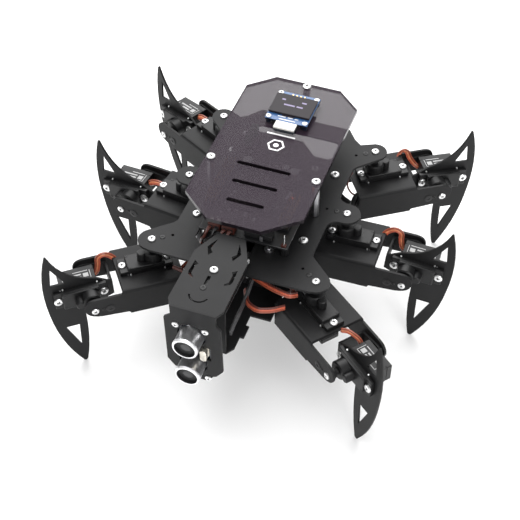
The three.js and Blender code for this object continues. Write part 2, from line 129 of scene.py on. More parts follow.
def leg_axes(leg):
    """The leg's outward direction and its cross direction, towards the knee horn."""
    outward = Vector(joints[f"{leg}_knee"]["pos_m"]) - Vector(joints[f"{leg}_coxa"]["pos_m"])
    outward.z = 0
    outward.normalize()
    across = Vector((-outward.y, outward.x, 0))
    return outward, across if across.y < 0 else -across


def frame_matrix(origin, x_axis, y_axis, z_axis):
    """Takes millimetres along three axes to metres in the world."""
    matrix = Matrix((x_axis, y_axis, z_axis)).transposed().to_4x4()
    return Matrix.Translation(origin) @ matrix @ Matrix.Scale(MM, 4)


def thigh_frame(leg):
    outward, across = leg_axes(leg)
    return frame_matrix(joints[f"{leg}_coxa"]["pos_m"], outward, across, Vector(UP))


def claw_frame(leg):
    outward, across = leg_axes(leg)
    knee = math.radians(KNEE_REST[leg])
    up = Vector(UP)
    return frame_matrix(joints[f"{leg}_knee"]["pos_m"],
                        outward * math.cos(knee) + up * math.sin(knee), across,
                        up * math.cos(knee) - outward * math.sin(knee))


FACE = (DECK @ Matrix.Translation((0, HEAD_FOLD_Y, HEAD_TOP))
        @ Matrix.Rotation(math.radians(FACE_TILT), 4, "X"))


# ---------------------------------------------------------------- materials
def shader(name, color, roughness, metallic=0.0, **sockets):
    """A Principled material whose constants sit on the shader's own sockets."""
    material = bpy.data.materials.new(name)
    material.use_nodes = True
    principled = material.node_tree.nodes["Principled BSDF"]
    principled.inputs["Base Color"].default_value = (*color, 1)
    principled.inputs["Roughness"].default_value = roughness
    principled.inputs["Metallic"].default_value = metallic
    for socket, value in sockets.items():
        principled.inputs[socket.replace("_", " ")].default_value = value
    return material


def texture(material, kind, scale, **settings):
    """A texture node that follows the piece's own coordinates."""
    nodes, links = material.node_tree.nodes, material.node_tree.links
    coordinates = nodes.get("coordinates") or nodes.new("ShaderNodeTexCoord")
    coordinates.name = "coordinates"
    node = nodes.new(kind)
    node.inputs["Scale"].default_value = scale
    for key, value in settings.items():
        node.inputs[key].default_value = value
    links.new(coordinates.outputs["Object"], node.inputs["Vector"])
    return node


def tint(material, source, low, high, start=0.3, end=0.7):
    """The base colour runs from low to high with the texture."""
    nodes, links = material.node_tree.nodes, material.node_tree.links
    ramp = nodes.new("ShaderNodeValToRGB")
    ramp.color_ramp.elements[0].position = start
    ramp.color_ramp.elements[1].position = end
    ramp.color_ramp.elements[0].color = (*low, 1)
    ramp.color_ramp.elements[1].color = (*high, 1)
    links.new(source, ramp.inputs["Fac"])
    links.new(ramp.outputs["Color"], nodes["Principled BSDF"].inputs["Base Color"])


def vary_roughness(material, source, low, high):
    """The roughness runs from low to high with the texture."""
    nodes, links = material.node_tree.nodes, material.node_tree.links
    spread = nodes.new("ShaderNodeMapRange")
    spread.inputs["To Min"].default_value = low
    spread.inputs["To Max"].default_value = high
    links.new(source, spread.inputs["Value"])
    links.new(spread.outputs["Result"], nodes["Principled BSDF"].inputs["Roughness"])


def bump(material, source, strength, depth):
    """The texture as a surface relief, depth in metres."""
    nodes, links = material.node_tree.nodes, material.node_tree.links
    node = nodes.new("ShaderNodeBump")
    node.inputs["Strength"].default_value = strength
    node.inputs["Distance"].default_value = depth
    links.new(source, node.inputs["Height"])
    links.new(node.outputs["Normal"], nodes["Principled BSDF"].inputs["Normal"])


def powder_coat():
    coat = shader("powder_coat_black", (0.0095, 0.0095, 0.0102), 0.42, Specular_IOR_Level=0.17)
    cloud = texture(coat, "ShaderNodeTexNoise", 60, Detail=3)
    tint(coat, cloud.outputs["Fac"], (0.008, 0.008, 0.0084), (0.011, 0.011, 0.0115))
    grain = texture(coat, "ShaderNodeTexNoise", 2600, Detail=2)
    vary_roughness(coat, grain.outputs["Fac"], 0.42, 0.54)
    bump(coat, grain.outputs["Fac"], 0.35, 0.00006)
    return coat


def moulded(name, color, roughness, grain_scale=1800):
    """Plastic with a faint cloud in its colour and a fine grain."""
    plastic = shader(name, color, roughness, Specular_IOR_Level=0.3)
    cloud = texture(plastic, "ShaderNodeTexNoise", 120, Detail=2)
    tint(plastic, cloud.outputs["Fac"], [0.85 * c for c in color], [1.15 * c for c in color])
    grain = texture(plastic, "ShaderNodeTexNoise", grain_scale, Detail=2)
    vary_roughness(plastic, grain.outputs["Fac"], roughness - 0.08, roughness + 0.1)
    bump(plastic, grain.outputs["Fac"], 0.2, 0.00004)
    return plastic


def plated(name, color, roughness):
    """Bright plating with faint turning marks."""
    metal = shader(name, color, roughness, 1.0)
    marks = texture(metal, "ShaderNodeTexNoise", 900, Detail=4, Distortion=0.6)
    tint(metal, marks.outputs["Fac"], [0.82 * c for c in color], color)
    vary_roughness(metal, marks.outputs["Fac"], roughness * 0.7, roughness * 1.5)
    bump(metal, marks.outputs["Fac"], 0.08, 0.00002)
    return metal


def smoked_acrylic():
    sheet = shader("smoked_acrylic", (0.024, 0.0145, 0.024), 0.24,
                   Alpha=0.7, Specular_IOR_Level=0.12)
    haze = texture(sheet, "ShaderNodeTexNoise", 25, Detail=2)
    tint(sheet, haze.outputs["Fac"], (0.022, 0.013, 0.022), (0.026, 0.016, 0.026))
    swirl = texture(sheet, "ShaderNodeTexNoise", 90, Detail=2)
    vary_roughness(sheet, swirl.outputs["Fac"], 0.22, 0.28)
    return sheet


def circuit_board(name, ground, trace):
    """Lacquered board with a pattern of tracks."""
    board = shader(name, ground, 0.4, Coat_Weight=0.4, Coat_Roughness=0.2)
    tracks = texture(board, "ShaderNodeTexBrick", 420)
    tracks.inputs["Color1"].default_value = (0.1, 0.1, 0.1, 1)
    tracks.inputs["Color2"].default_value = (0.3, 0.3, 0.3, 1)
    tracks.inputs["Mortar"].default_value = (1, 1, 1, 1)
    tracks.inputs["Mortar Size"].default_value = 0.04
    tint(board, tracks.outputs["Color"], ground, trace, 0.2, 0.9)
    bump(board, tracks.outputs["Color"], 0.2, 0.00003)
    return board


def mesh_cloth(name):
    """The fine woven metal mesh behind a transducer's rim."""
    metal = shader(name, (0.006, 0.006, 0.006), 0.45, Specular_IOR_Level=0.3)
    weave = texture(metal, "ShaderNodeTexVoronoi", 1500)
    tint(metal, weave.outputs["Distance"], (0.002, 0.002, 0.002), (0.016, 0.016, 0.017),
         0.15, 0.6)
    bump(metal, weave.outputs["Distance"], 0.8, 0.0002)
    return metal


def wire(name, color):
    sleeve = shader(name, color, 0.38, Coat_Weight=0.25)
    cloud = texture(sleeve, "ShaderNodeTexNoise", 260, Detail=2)
    tint(sleeve, cloud.outputs["Fac"], [0.8 * c for c in color], [min(1, 1.12 * c) for c in color])
    grain = texture(sleeve, "ShaderNodeTexNoise", 1500, Detail=1)
    bump(sleeve, grain.outputs["Fac"], 0.15, 0.00005)
    return sleeve


def display_glass():
    glass = shader("display_glass", (0.02, 0.017, 0.02), 0.06, Specular_IOR_Level=0.12)
    smears = texture(glass, "ShaderNodeTexNoise", 300, Detail=2)
    vary_roughness(glass, smears.outputs["Fac"], 0.04, 0.1)
    return glass


def glowing(name, color, strength):
    lamp = shader(name, color, 0.3, Emission_Color=(*color, 1), Emission_Strength=strength)
    grain = texture(lamp, "ShaderNodeTexNoise", 900, Detail=1)
    bump(lamp, grain.outputs["Fac"], 0.1, 0.00003)
    return lamp


POWDER = powder_coat()
SERVO_CASE = moulded("servo_case", (0.006, 0.006, 0.0064), 0.42)
HORN = moulded("nylon_horn", (0.006, 0.006, 0.0064), 0.4, 900)
HOLDER = moulded("holder_plastic", (0.008, 0.008, 0.0085), 0.5)
HEADER = moulded("header_plastic", (0.008, 0.008, 0.0085), 0.45)
CHIP = moulded("chip_epoxy", (0.006, 0.006, 0.0065), 0.55)
WHITE_PLUG = moulded("white_plug", (0.75, 0.74, 0.7), 0.45)
PRINT = moulded("white_print", (0.72, 0.72, 0.72), 0.55)
LABEL_PRINT = moulded("label_print", (0.36, 0.36, 0.36), 0.55)
STICKER = moulded("sticker", (0.01, 0.01, 0.0107), 0.5)
RED_PLUG = moulded("red_plug", (0.05, 0.011, 0.007), 0.4)
GREEN_BLOCK = moulded("terminal_green", (0.03, 0.2, 0.09), 0.4)
SLEEVE = moulded("cell_sleeve", (0.008, 0.009, 0.014), 0.34, 300)
SPIRAL = moulded("spiral_sleeve", (0.006, 0.006, 0.0065), 0.4, 500)
FLEX = moulded("flex_film", (0.05, 0.03, 0.02), 0.3, 600)
SCREW = plated("screw_plating", (0.9, 0.9, 0.9), 0.3)
HEX_STEEL = plated("hex_steel", (0.62, 0.62, 0.64), 0.3)
CAN = plated("can_chrome", (0.88, 0.88, 0.9), 0.33)
CREAM_CAN = plated("crystal_can", (0.83, 0.79, 0.7), 0.3)
GOLD = plated("gold_pins", (0.9, 0.62, 0.25), 0.25)
# Dark grey for the faces inside a screw's cross: painted shade in the recess, on plating that is
# bright all over.
RECESS_PAINTED_SHADE = moulded("screw_recess_painted_shade", (0.08, 0.08, 0.08), 0.5)
MESH = mesh_cloth("transducer_mesh")
# A lighter grey for the little cone in each transducer's middle: a painted highlight.
CONE_PAINTED_HIGHLIGHT = moulded("cone_painted_highlight", (0.05, 0.05, 0.052), 0.35)
ACRYLIC = smoked_acrylic()
ACRYLIC_EDGE = moulded("acrylic_edge", (0.01, 0.0075, 0.01), 0.2, 500)
BLACK_BOARD = circuit_board("black_board", (0.004, 0.004, 0.005), (0.009, 0.01, 0.011))
BLUE_BOARD = circuit_board("blue_board", (0.01, 0.05, 0.17), (0.03, 0.12, 0.28))
DARK_BOARD = circuit_board("dark_board", (0.003, 0.006, 0.014), (0.006, 0.012, 0.024))
GLASS = display_glass()
PIXELS = glowing("display_pixels", (0.16, 0.13, 0.24), 0.12)
RED_LAMP = glowing("red_lamp", (1, 0.12, 0.04), 6)
ORANGE_WIRE = wire("orange_wire", (0.75, 0.25, 0.12))
RED_WIRE = wire("red_wire", (0.5, 0.1, 0.05))
BROWN_WIRE = wire("brown_wire", (0.27, 0.06, 0.03))
MAROON_WIRE = wire("maroon_wire", (0.1, 0.025, 0.018))
BLACK_WIRE = wire("black_wire", (0.009, 0.009, 0.01))
GREY_WIRE = wire("grey_wire", (0.06, 0.06, 0.064))


# ---------------------------------------------------------------- mesh building
def sharpen(bm, flat):
    """Smooth shading, except across sharp edges and on faces over flat square millimetres."""
    for face in bm.faces:
        face.smooth = not flat or face.calc_area() < flat * MM * MM
    for edge in bm.edges:
        edge.smooth = (len(edge.link_faces) == 2
                       and edge.calc_face_angle(0) < math.radians(SHARP_DEGREES))


def soften(bm, width, degrees=40, segments=2, chosen=None):
    """Rounds the edges that turn more than degrees."""
    edges = [e for e in bm.edges if len(e.link_faces) == 2
             and e.calc_face_angle(0) > math.radians(degrees) and (chosen is None or chosen(e))]
    if edges:
        bmesh.ops.bevel(bm, geom=edges, offset=width, offset_type="OFFSET", segments=segments,
                        profile=0.5, affect="EDGES", clamp_overlap=True)


def finish_piece(name, bm, materials, body, replaces=(), flat=10):
    """Turns a bmesh in metres into a piece that rides on a body, or on none when body is None."""
    sharpen(bm, flat)
    mesh = bpy.data.meshes.new(name)
    bm.to_mesh(mesh)
    bm.free()
    for material in materials:
        mesh.materials.append(material)
    piece = bpy.data.objects.new(name, mesh)
    bpy.context.scene.collection.objects.link(piece)
    if body:
        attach(piece, body)
    if replaces:
        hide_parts(*replaces)
    return piece


def place(bm, matrix):
    """Moves a millimetre mesh to its frame; a mirrored frame turns the faces back out."""
    bmesh.ops.transform(bm, matrix=matrix, verts=bm.verts)
    if matrix.determinant() < 0:
        bmesh.ops.reverse_faces(bm, faces=bm.faces)
    return bm


def merge(target, source, material_index=0):
    """Adds source's faces to target, their material shifted by material_index, and frees source."""
    mesh = bpy.data.meshes.new("part")
    for face in source.faces:
        face.material_index += material_index
    source.to_mesh(mesh)
    source.free()
    target.from_mesh(mesh)
    bpy.data.meshes.remove(mesh)
    return target


def rounded_block(x0, x1, y0, y1, z0, z1, radius, segments=2):
    """A box between six bounds with its edges rounded."""
    bm = bmesh.new()
    bmesh.ops.create_cube(bm, size=1)
    size = Vector((x1 - x0, y1 - y0, z1 - z0))
    centre = Vector((x0 + x1, y0 + y1, z0 + z1)) / 2
    stretch = Matrix.Translation(centre) @ Matrix.Diagonal((*size, 1))
    bmesh.ops.transform(bm, matrix=stretch, verts=bm.verts)
    soften(bm, min(radius, 0.45 * min(size)), segments=segments)
    return bm


def lathe(profile, steps=28):
    """Turns (radius, height) points about Z; radius 0 closes an end."""
    bm = bmesh.new()
    rings = []
    for radius, height in profile:
        if radius == 0:
            rings.append([bm.verts.new((0, 0, height))])
        else:
            rings.append([bm.verts.new((radius * math.cos(FULL_TURN * i / steps),
                                        radius * math.sin(FULL_TURN * i / steps), height))
                          for i in range(steps)])
    for low, high in zip(rings, rings[1:]):
        for i in range(steps):
            j = (i + 1) % steps
            corners = [low[i % len(low)], low[j % len(low)],
                       high[j % len(high)], high[i % len(high)]]
            corners = list(dict.fromkeys(corners))
            if len(corners) > 2:
                bm.faces.new(corners)
    bmesh.ops.recalc_face_normals(bm, faces=bm.faces)
    return bm


def pointing(position, axis):
    """A matrix that moves Z to an axis at a position."""
    turn = Vector(axis).to_track_quat("Z", "Y").to_matrix().to_4x4()
    return Matrix.Translation(position) @ turn


def prism(points, z0, z1):
    """An outline in X and Y between two heights."""
    bm = bmesh.new()
    low = [bm.verts.new((x, y, z0)) for x, y in points]
    high = [bm.verts.new((x, y, z1)) for x, y in points]
    bm.faces.new(list(reversed(low)))
    bm.faces.new(high)
    for i, (a, b) in enumerate(zip(low, high)):
        j = (i + 1) % len(low)
        bm.faces.new((a, low[j], high[j], b))
    bmesh.ops.recalc_face_normals(bm, faces=bm.faces)
    return bm


def hexagon(radius, cx=0, cy=0):
    return [(cx + radius * math.cos(math.pi * i / 3), cy + radius * math.sin(math.pi * i / 3))
            for i in range(6)]


def arc(cx, cy, radius, start, end, steps):
    return [(cx + radius * math.cos(math.radians(start + (end - start) * i / steps)),
             cy + radius * math.sin(math.radians(start + (end - start) * i / steps)))
            for i in range(steps + 1)]


def smooth_path(points, per_span=8):
    """A Catmull-Rom line through the points."""
    pts = [Vector(p) for p in points]
    pts = [2 * pts[0] - pts[1]] + pts + [2 * pts[-1] - pts[-2]]
    line = []
    for a, b, c, d in zip(pts, pts[1:], pts[2:], pts[3:]):
        for i in range(per_span):
            t = i / per_span
            line.append(0.5 * (2 * b + (c - a) * t + (2 * a - 5 * b + 4 * c - d) * t * t
                               + (3 * b - a - 3 * c + d) * t ** 3))
    return line + [pts[-2]]


def swept(line, radius, shift=0.0, start_side=Vector((0, 1, 0)), sides=10):
    """A round wire along a line, shifted from it towards the side it keeps."""
    bm = bmesh.new()
    rings = []
    side = start_side
    for i, point in enumerate(line):
        ahead = (line[min(i + 1, len(line) - 1)] - line[max(i - 1, 0)]).normalized()
        side = (side - ahead * side.dot(ahead)).normalized()
        other = ahead.cross(side)
        centre = point + side * shift
        rings.append([bm.verts.new(centre + radius * (side * math.cos(FULL_TURN * k / sides)
                                                      + other * math.sin(FULL_TURN * k / sides)))
                      for k in range(sides)])
    for low, high in zip(rings, rings[1:]):
        for k in range(sides):
            m = (k + 1) % sides
            bm.faces.new((low[k], low[m], high[m], high[k]))
    bm.faces.new(list(reversed(rings[0])))
    bm.faces.new(rings[-1])
    bmesh.ops.recalc_face_normals(bm, faces=bm.faces)
    return bm


def refined(node, width, materials, body, fold_width=0, fold=None, paint=None):
    """A copy of a CAD node with rounded edges, in its place.

    fold picks edges to round by fold_width, and paint picks a face's material.
    """
    bm = bmesh.new()
    bm.from_mesh(frame["nodes"][node].data)
    bmesh.ops.remove_doubles(bm, verts=bm.verts, dist=2e-6)
    bmesh.ops.dissolve_limit(bm, angle_limit=math.radians(0.8), verts=bm.verts, edges=bm.edges)
    if fold:
        soften(bm, fold_width * MM, segments=4, chosen=fold)
    soften(bm, width * MM, degrees=42, segments=2)
    for face in bm.faces:
        face.material_index = paint(face) if paint else 0
    return finish_piece(f"{node}_shell", bm, materials, body, [node])


# ---------------------------------------------------------------- fasteners
def screw_head(radius, height):
    """A domed head with a cross recess, standing on z = 0."""
    bm = bmesh.new()
    steps, rings = 32, 9
    arm_width, arm_reach, depth = 0.13 * radius, 0.46 * radius, 0.45 * height
    grid = []
    for r in range(1, rings + 1):
        radial = radius * r / rings
        ring = []
        for i in range(steps):
            angle = FULL_TURN * i / steps
            x, y = radial * math.cos(angle), radial * math.sin(angle)
            top = height * math.sqrt(max(0.0, 1 - 0.72 * (radial / radius) ** 3.2))
            in_cross = min(abs(x), abs(y)) < arm_width and radial < arm_reach
            ring.append(bm.verts.new((x, y, top - (depth if in_cross else 0))))
        grid.append(ring)
    centre = bm.verts.new((0, 0, height - depth))
    for i in range(steps):
        j = (i + 1) % steps
        bm.faces.new((centre, grid[0][i], grid[0][j]))
        for low, high in zip(grid, grid[1:]):
            bm.faces.new((low[i], high[i], high[j], low[j]))
    base = [bm.verts.new((v.co.x, v.co.y, 0)) for v in grid[-1]]
    for i in range(steps):
        j = (i + 1) % steps
        bm.faces.new((grid[-1][i], base[i], base[j], grid[-1][j]))
    bm.faces.new(list(reversed(base)))
    bmesh.ops.recalc_face_normals(bm, faces=bm.faces)
    # The faces deep in the cross take the second material, the painted shade of the recess.
    for face in bm.faces:
        middle = face.calc_center_median()
        sunk = middle.z < height - 0.75 * depth and math.hypot(middle.x, middle.y) < arm_reach
        face.material_index = 1 if sunk else 0
    return bm


def hex_nut(radius, height):
    """A nut standing on z = 0, with the end of its bolt."""
    bm = prism(hexagon(radius), 0, height)
    soften(bm, 0.15 * height, degrees=20)
    bolt = lathe([(0, height + 0.7), (0.36 * radius, height + 0.7), (0.44 * radius, height + 0.5),
                  (0.44 * radius, height - 0.2), (0, height - 0.2)], 16)
    return merge(bm, bolt)


def small_ring(radius):
    """A black screw sunk in the sheet: a low ring with a dark socket."""
    return lathe([(0, 0.05), (0.32 * radius, 0.05), (0.4 * radius, 0.32), (0.86 * radius, 0.34),
                  (radius, 0.2), (radius, -0.3), (0, -0.3)], 24)


def fasteners(name, matrix, body, items, kind="screw"):
    """One piece holding a body's fasteners.

    items are (position, axis, radius) in the matrix's frame.
    """
    whole = bmesh.new()
    for position, axis, radius in items:
        if kind == "screw":
            part = screw_head(radius, 0.52 * radius)
        elif kind == "nut":
            part = hex_nut(radius, 0.8 * radius)
        else:
            part = small_ring(radius)
        spun = Matrix.Rotation(random.uniform(0, math.pi / 2), 4, "Z")
        bmesh.ops.transform(part, matrix=pointing(position, axis) @ spun, verts=part.verts)
        merge(whole, part)
    place(whole, matrix)
    looks = {"screw": [SCREW, RECESS_PAINTED_SHADE], "nut": [HEX_STEEL], "ring": [HORN]}[kind]
    return finish_piece(name, whole, looks, body)


# ---------------------------------------------------------------- servos and leads
SERVO_PLAN = (-5.9, 16.9, -6.1, 6.1)
SERVO_LOOKS = [SERVO_CASE, STICKER, LABEL_PRINT, SCREW, HEADER]
LABEL, MARK, CORNER_SCREW, DARK_PART = range(1, 5)


def label():
    """A generic printed sticker on the servo's long side: a frame, two blocks and plain bars."""
    bm = merge(bmesh.new(), rounded_block(-4.6, 15.6, -6.16, -6.02, -13.6, -4.4, 0.05), LABEL)
    for x0, x1, z0, z1 in ((-3.4, 14.4, -5.4, -5.0), (-3.4, -3.0, -11.6, -5.0),
                           (14.0, 14.4, -9, -5.0), (-2.0, 1.2, -9.6, -6.4),
                           (2.4, 8.8, -7.6, -6.4), (2.4, 12.4, -9.8, -8.7),
                           (-2.0, 7.2, -11.8, -11.2)):
        merge(bm, rounded_block(x0, x1, -6.26, -6.12, z0, z1, 0.03, 1), MARK)
    return bm


def servo_body():
    """A micro servo: shaft on +Z, lugs on z = 0, long side on +X."""
    bm = rounded_block(*SERVO_PLAN, -15.8, -12.1, 0.5)
    merge(bm, rounded_block(-5.7, 16.7, -5.9, 5.9, -12.2, 3.2, 0.25))
    merge(bm, rounded_block(*SERVO_PLAN, -11.8, 2.7, 0.3))
    merge(bm, rounded_block(*SERVO_PLAN, 3, 4.6, 0.5, 3))
    for end, inward in ((-10.7, 1), (21.7, -1)):
        lug = sorted((end, end + inward * 5.2))
        merge(bm, rounded_block(*lug, -6.1, 6.1, 0, LUG_THICKNESS, 0.4))
        rib = sorted((end + inward * 4.0, end + inward * 5.2))
        merge(bm, rounded_block(*rib, -0.8, 0.8, 2.2, 3.6, 0.3))
    merge(bm, lathe([(0, 10.8), (5.1, 10.8), (5.9, 10.1), (5.9, 4), (0, 4)], 36))
    merge(bm, place(lathe([(0, 10.6), (2.3, 10.6), (2.8, 10.1), (2.8, 4), (0, 4)], 24),
                    Matrix.Translation((7.1, 0, 0))))
    for x in (-4.7, 15.7):
        for y in (-4.9, 4.9):
            dimple = lathe([(0, 4.75), (0.75, 4.75), (0.95, 4.6), (0.95, 4.2), (0, 4.2)], 12)
            merge(bm, place(dimple, Matrix.Translation((x, y, 0))), DARK_PART)
    for x in (-5.6, 15.6):
        for y in (-6.5, 6.5):
            screw = lathe([(0, 0.75), (0.4, 0.65), (0.6, 0.3), (0.6, -0.4), (0, -0.4)], 12)
            merge(bm, place(screw, Matrix.Translation((x, y, 0))), CORNER_SCREW)
    shaft = lathe([(0, 12.6), (1.9, 12.6), (2.3, 12.2), (2.3, 10.6), (0, 10.6)], 24)
    merge(bm, shaft, DARK_PART)
    return merge(bm, label())


def servo_piece(node, matrix, body):
    bm = place(servo_body(), matrix)
    return finish_piece(f"{node}_case", bm, SERVO_LOOKS, body, [node])


def strands(routes, matrix):
    """Round wires, one material each, from (points, radius) in the matrix's frame."""
    bm = bmesh.new()
    for index, (points, radius) in enumerate(routes):
        line = [matrix @ p for p in smooth_path(points)]
        merge(bm, swept(line, radius * MM, sides=12), index)
    return bm


def lead(name, points, matrix, body, start_side, colours=(RED_WIRE, ORANGE_WIRE, BROWN_WIRE),
         blend=None):
    """Three wires side by side; given blend, the lead is baked into world coordinates and rides on
    no body, and the bodies and points that blend holds are not used.
    """
    line = [matrix @ p for p in smooth_path(points)]
    side = (matrix.to_3x3() @ Vector(start_side)).normalized()
    bm = bmesh.new()
    for index, shift in enumerate((-WIRE_PITCH, 0, WIRE_PITCH)):
        merge(bm, swept(line, WIRE_RADIUS * MM, shift * MM, side), index)
    piece = finish_piece(name, bm, colours, body)
    if blend:
        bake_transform(piece)
    return piece


# ---------------------------------------------------------------- chassis
def chassis_sheets():
    refined("top_plate", 0.28, [POWDER], "chassis")
    refined("bottom_plate", 0.28, [POWDER], "chassis")
    for node in ("standoff_front_left", "standoff_front_right", "standoff_rear_left",
                 "standoff_rear_right", "cover_post_left", "cover_post_right", "cover_post_rear"):
        refined(node, 0.3, [HEX_STEEL], "chassis")
    for leg in LEGS:
        refined(f"{leg}_coxa_horn", 0.25, [HORN], "chassis")


def inward_point(side, row, reach):
    """A point on a lobe's centre line, reach millimetres in from the pivot."""
    angle = 0.62 * row
    return side * (HUB_X - reach * math.cos(angle)), row * HUB_Y - reach * math.sin(angle), 0


def chassis_fasteners():
    screws, rings, nuts = [], [], []
    for side in (-1, 1):
        for row in (-1, 0, 1):
            screws.append(((side * HUB_X, row * HUB_Y, 0), UP, 2.4))
            rings.append((inward_point(side, row, 6.5), UP, 1.7))
        for row in (-1, 1):
            x, y = side * STANDOFF_X, row * STANDOFF_Y
            screws.append(((x, y, 0), UP, 2.7))
            nuts.append(((x, y, LOWER_PLATE_TOP - SHEET), DOWN, 2.9))
        screws.append(((side * 10.2, -62.6, 4.6), (side, 0, 0), 1.9))
        screws.append(((side * 10.2, -63.4, -6.4), (side, 0, 0), 1.9))
        for row in (-1, 1):
            screws.append(((side * 11.75, OLED_Y + row * 11.9, OLED_TOP), UP, 1.75))
        screws.append(((side * 33.4, -7.5, COVER_TOP), UP, 2.7))
    screws.append(((0, 75.2, COVER_TOP), UP, 2.7))
    screws.append(((0, PAN_Y + LUG_HOLES[1], 2.8), UP, 2.0))
    screws.append(((0, PAN_Y + LUG_HOLES[0], 2.8), UP, 2.0))
    fasteners("chassis_screws", DECK, "chassis", screws)
    fasteners("lobe_sunk_screws", DECK, "chassis", rings, "ring")
    nuts.append(((17.6, -46.1, 0), UP, 2.8))
    fasteners("chassis_nuts", DECK, "chassis", nuts, "nut")


def cover():
    """The smoked sheet, with a plain hexagon mark and a bar printed on it."""
    refined("cover", 0.35, [ACRYLIC, ACRYLIC_EDGE], "chassis",
            paint=lambda face: int(abs(face.normal.z) < 0.4))
    print_z = (COVER_TOP, COVER_TOP + 0.06)
    mark = bmesh.new()
    centre_y = 15.5
    outer, inner = hexagon(5.6, 0, centre_y), hexagon(4.4, 0, centre_y)
    for i in range(6):
        j = (i + 1) % 6
        merge(mark, prism([outer[i], outer[j], inner[j], inner[i]], *print_z))
    merge(mark, prism(arc(0, centre_y, 1.7, 0, 345, 23), *print_z))
    merge(mark, prism([(-9, 24.6), (9, 24.6), (9, 25.8), (-9, 25.8)], *print_z))
    finish_piece("cover_print", place(mark, DECK), [PRINT], "chassis")


def display():
    board_top = (DECK @ Vector((0, 0, OLED_TOP))).z
    refined("oled_board", 0.2, [BLUE_BOARD, DARK_BOARD], "chassis",
            paint=lambda face: int(face.calc_center_median().z < board_top - 0.3 * MM))
    refined("oled_screen", 0.18, [GLASS], "chassis")

    glass_top = OLED_TOP + GAP + 1.5
    lit = bmesh.new()
    for row, bars in enumerate(((-8.5, -6.2, 4.5, 7.5), (-5.8, 1.2, 2.4, 6.4))):
        y = OLED_Y + 3.8 - 4.6 * row
        for x0, x1 in zip(bars[::2], bars[1::2]):
            bar = rounded_block(x0, x1, y, y + 1.3, glass_top - 0.02, glass_top + 0.02, 0.01, 1)
            merge(lit, bar)
    finish_piece("display_bars", place(lit, DECK), [PIXELS], "chassis")

    plug = rounded_block(-6.0, 7.4, OLED_Y - 20.3, OLED_Y - 13.9, OLED_TOP - 1.4, OLED_TOP, 0.3)
    finish_piece("display_plug", place(plug, DECK), [WHITE_PLUG], "chassis")

    silk = bmesh.new()
    for x0, x1, y in ((-6.5, -1.5, -10.2), (0, 3.2, -10.2), (4.4, 6.8, -10.2), (-5, 5.5, -12.6)):
        merge(silk, rounded_block(x0, x1, OLED_Y + y, OLED_Y + y + 0.7,
                                  OLED_TOP, OLED_TOP + 0.05, 0.02, 1))
    finish_piece("display_silkscreen", place(silk, DECK), [PRINT], "chassis")

    strip = rounded_block(-4, 4, OLED_Y - 9.2, OLED_Y - 8.5, OLED_TOP + 0.02, OLED_TOP + 0.3, 0.08)
    for i in range(4):
        x = PIN_PITCH * i
        merge(strip, rounded_block(-4.2 + x, -3.4 + x, OLED_Y + 11.0, OLED_Y + 12.4,
                                   OLED_TOP - 0.1, OLED_TOP + 0.5, 0.1), 1)
    finish_piece("display_flex", place(strip, DECK), [FLEX, GOLD], "chassis")


# ---------------------------------------------------------------- controller and batteries
def header(x0, x1, y0, y1, rows):
    """A pin header on the board: a black strip with gold pins standing out of it."""
    bm = rounded_block(x0, x1, y0, y1, BOARD_TOP, BOARD_TOP + 2.5, 0.2)
    length = y1 - y0
    count = int(length / PIN_PITCH)
    half = 0.32
    for i in range(count):
        for row in range(rows):
            x = (x0 + x1) / 2 + (row - (rows - 1) / 2) * PIN_PITCH
            y = y0 + (i + 0.5) * length / count
            merge(bm, rounded_block(x - half, x + half, y - half, y + half,
                                    BOARD_TOP + 2.3, BOARD_TOP + 8, 0.12, 1), 1)
    return bm


def board_sheet():
    """The board itself, with one corner cut back, on its hexagonal spacers."""
    left, right = -30.5, 30.5
    outline = [(-24.5, -51.5), (right, -51.5), (right, 20), (20, 31), (9, 42), (left, 42),
               (left, -34), (-24.5, -38)]
    board = prism(outline, BOARD_TOP - 1.6, BOARD_TOP)
    soften(board, 0.2)
    for i, (x, y) in enumerate(((27, -45), (-27, -20), (-27, 37), (24, 20))):
        post = prism(hexagon(2.6, x, y), GAP, BOARD_TOP - 1.5)
        soften(post, 0.2)
        merge(board, post, 1)
        if i:
            merge(board, place(screw_head(2.2, 1.3), Matrix.Translation((x, y, BOARD_TOP))), 2)
    finish_piece("controller_sheet", place(board, DECK), [BLACK_BOARD, HOLDER, SCREW, RECESS_PAINTED_SHADE],
                 "chassis", ["controller_board"])


def board_chips():
    chips = rounded_block(-12, 12, -30, -12, BOARD_TOP, BOARD_TOP + 2, 0.25)
    for x0, x1, y0, y1, rise in ((-14, -2, 14, 26, 1.4), (4, 14, 14, 22, 1.6),
                                 (-10, -4, -4, 2, 1.2), (2, 8, -6, -1, 1.3),
                                 (-20, -15, 28, 33, 3), (12, 18, -4, 4, 1.8)):
        merge(chips, rounded_block(x0, x1, y0, y1, BOARD_TOP, BOARD_TOP + rise, 0.2))
    for _ in range(46):
        x, y = random.uniform(-19, 19), random.uniform(-40, 30)
        w, d = random.choice(((0.5, 0.9), (0.9, 0.5), (0.8, 1.6)))
        part = rounded_block(x - w, x + w, y - d, y + d, BOARD_TOP, BOARD_TOP + 0.6, 0.1, 1)
        merge(chips, part, 1)
    finish_piece("board_chips", place(chips, DECK), [CHIP, HEX_STEEL], "chassis")


